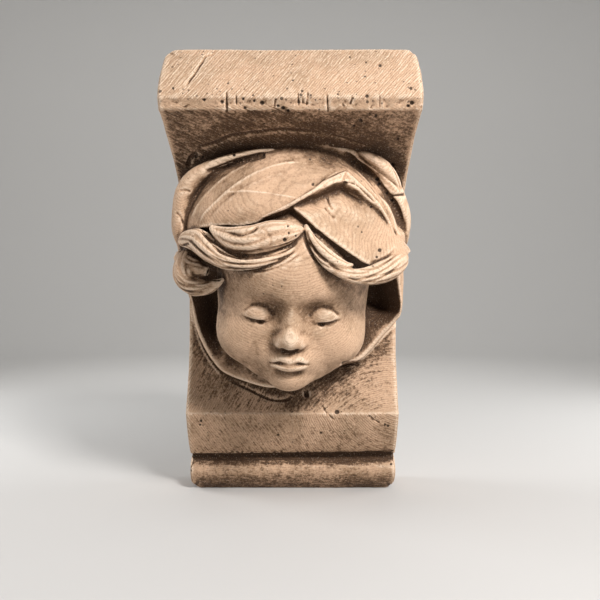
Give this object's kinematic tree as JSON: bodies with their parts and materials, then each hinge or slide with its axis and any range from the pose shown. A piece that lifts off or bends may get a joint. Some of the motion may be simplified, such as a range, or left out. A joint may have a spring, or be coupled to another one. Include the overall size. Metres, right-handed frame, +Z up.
{
  "type": "corbel",
  "caption": "Cast wall corbel: scrolled bracket block with a child's head in a hood in its hollow and a flat top that carries a shelf or beam end.",
  "frame": {"origin": "middle of the flat back, which lies against the wall", "axes": "+X to the viewer's right, +Y into the wall, +Z up; the carved front faces -Y"},
  "size_m": [0.1512, 0.1543, 0.29],
  "materials": {
    "cast_stone": "matt, with a brown wash in the recesses, fine pits and knife marks"
  },
  "bodies": {
    "root": {"corbel": "cast_stone"}
  },
  "joints": []
}
